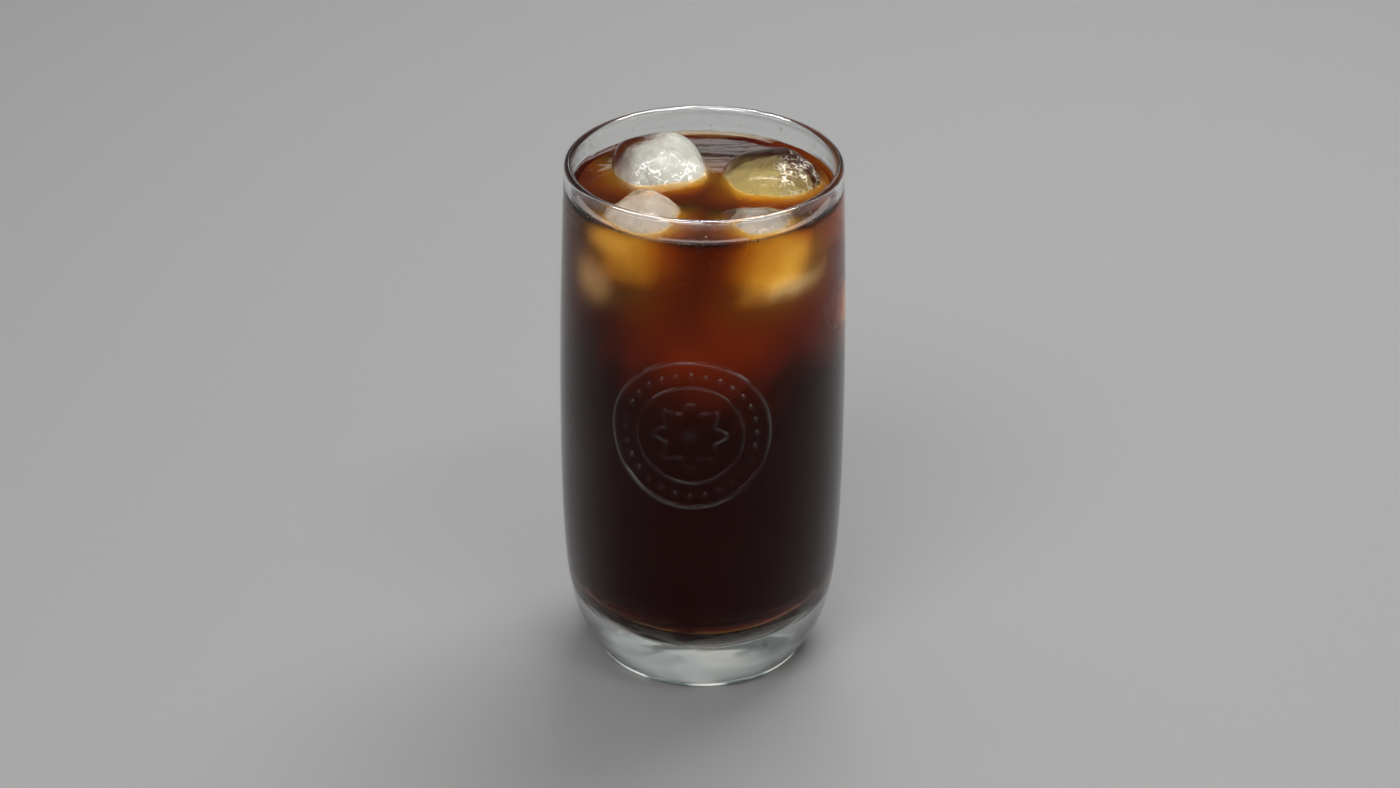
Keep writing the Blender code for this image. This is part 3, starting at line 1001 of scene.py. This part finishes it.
# %% [markdown]
# ## The lights
#
# Glass and ice are drawn by what they mirror and what shows through them, so each light has one job, and
# is hidden from the rays that would do harm. A broad light high at the back gets into the ice and the
# thick base, but isn't mirrored, or it would whiten the coffee. One at the top front shapes the ice, and a
# small one beside it gives the sharp glints. A long thin strip overhead draws the bright line along the
# lip and lights nothing matt. A small card far behind shows as the sheen on the far side of the coffee.
# Three low, wide lights at the front give the glass its sides, and can't be seen through it.


# %% Lights
def soft_light(name, place, aim, size, power, mirrored=True, lights_matt=True, seen_through=True):
    """An area light at place that faces aim, and may be hidden from mirrors, matt paint or through glass."""
    lamp = bpy.data.lights.new(name, "AREA")
    lamp.shape = "RECTANGLE"
    lamp.size, lamp.size_y = size
    lamp.energy = power
    holder = bpy.data.objects.new(name, lamp)
    facing = (Vector(aim) - Vector(place)).to_track_quat("-Z", "Y").to_matrix().to_4x4()
    holder.matrix_world = Matrix.Translation(place) @ facing
    holder.visible_camera = False
    holder.visible_glossy = mirrored
    holder.visible_diffuse = lights_matt
    holder.visible_transmission = seen_through
    bpy.context.scene.collection.objects.link(holder)


soft_light("top_back", (0.22, 0.50, 0.85), (0, 0, 0.08), (0.7, 0.5), 10.5, mirrored=False)
soft_light("top_front", (-0.25, -0.62, 0.85), (0, 0, 0.08), (0.5, 0.4), 6)
soft_light("small_top", (0.28, -0.42, 0.95), (0, 0, 0.12), (0.34, 0.06), 2)
soft_light("rim_strip", (0, 0.30, 1.0), (0, 0, 0.13), (1.2, 0.05), 16, lights_matt=False)
soft_light("far_card", (0.02, 1.0, 0.535), (0, 0, 0.12), (0.22, 0.10), 0.10)
LOW_DISTANCE, LOW_HEIGHT, LOW_TURNS = 1.1, 0.24, (-50, 0, 50)
for turn in LOW_TURNS:
    across, ahead = math.sin(math.radians(turn)), -math.cos(math.radians(turn))
    place = (LOW_DISTANCE * across, LOW_DISTANCE * ahead, LOW_HEIGHT)
    soft_light("low_front", place, (0, 0, 0.06), (0.9, 0.24), 1.8, seen_through=False)

# %% [markdown]
# ## The room, and how light is followed
#
# The room is only a gradient from the horizon up: darker half way up, so that the coffee's surface, which
# mirrors that height, stays dark, and brighter overhead, where the glass and the ice look up to. Light
# passes a dozen surfaces on its way through glass, coffee and nested veils, so it needs many bounces.

# %% Room
SKY = ((0.0, 0.20), (0.10, 0.20), (0.20, 0.12), (0.40, 0.06), (0.62, 0.10), (0.85, 0.42))
COOL = np.array((0.98, 1.0, 1.03))
world = bpy.data.worlds.new("studio")
world.use_nodes = True
sky = world.node_tree
direction = sky.nodes.new("ShaderNodeTexCoord")
upward = sky.nodes.new("ShaderNodeSeparateXYZ")
shade = sky.nodes.new("ShaderNodeValToRGB")
sky.links.new(direction.outputs["Generated"], upward.inputs[0])
sky.links.new(upward.outputs["Z"], shade.inputs[0])
sky.links.new(shade.outputs[0], sky.nodes["Background"].inputs["Color"])
for stop, (height, grey) in zip(Finish.stops(shade.color_ramp, len(SKY)), SKY):
    stop.position = height
    stop.color = (*(grey * COOL), 1)

# %% How light is followed
scene = bpy.context.scene
scene.world = world
scene.view_settings.view_transform = "Standard"
scene.cycles.max_bounces = 32
scene.cycles.transmission_bounces = 28
scene.cycles.diffuse_bounces = 12
scene.cycles.transparent_max_bounces = 32
scene.cycles.volume_bounces = 3
scene.cycles.sample_clamp_indirect = 6.0
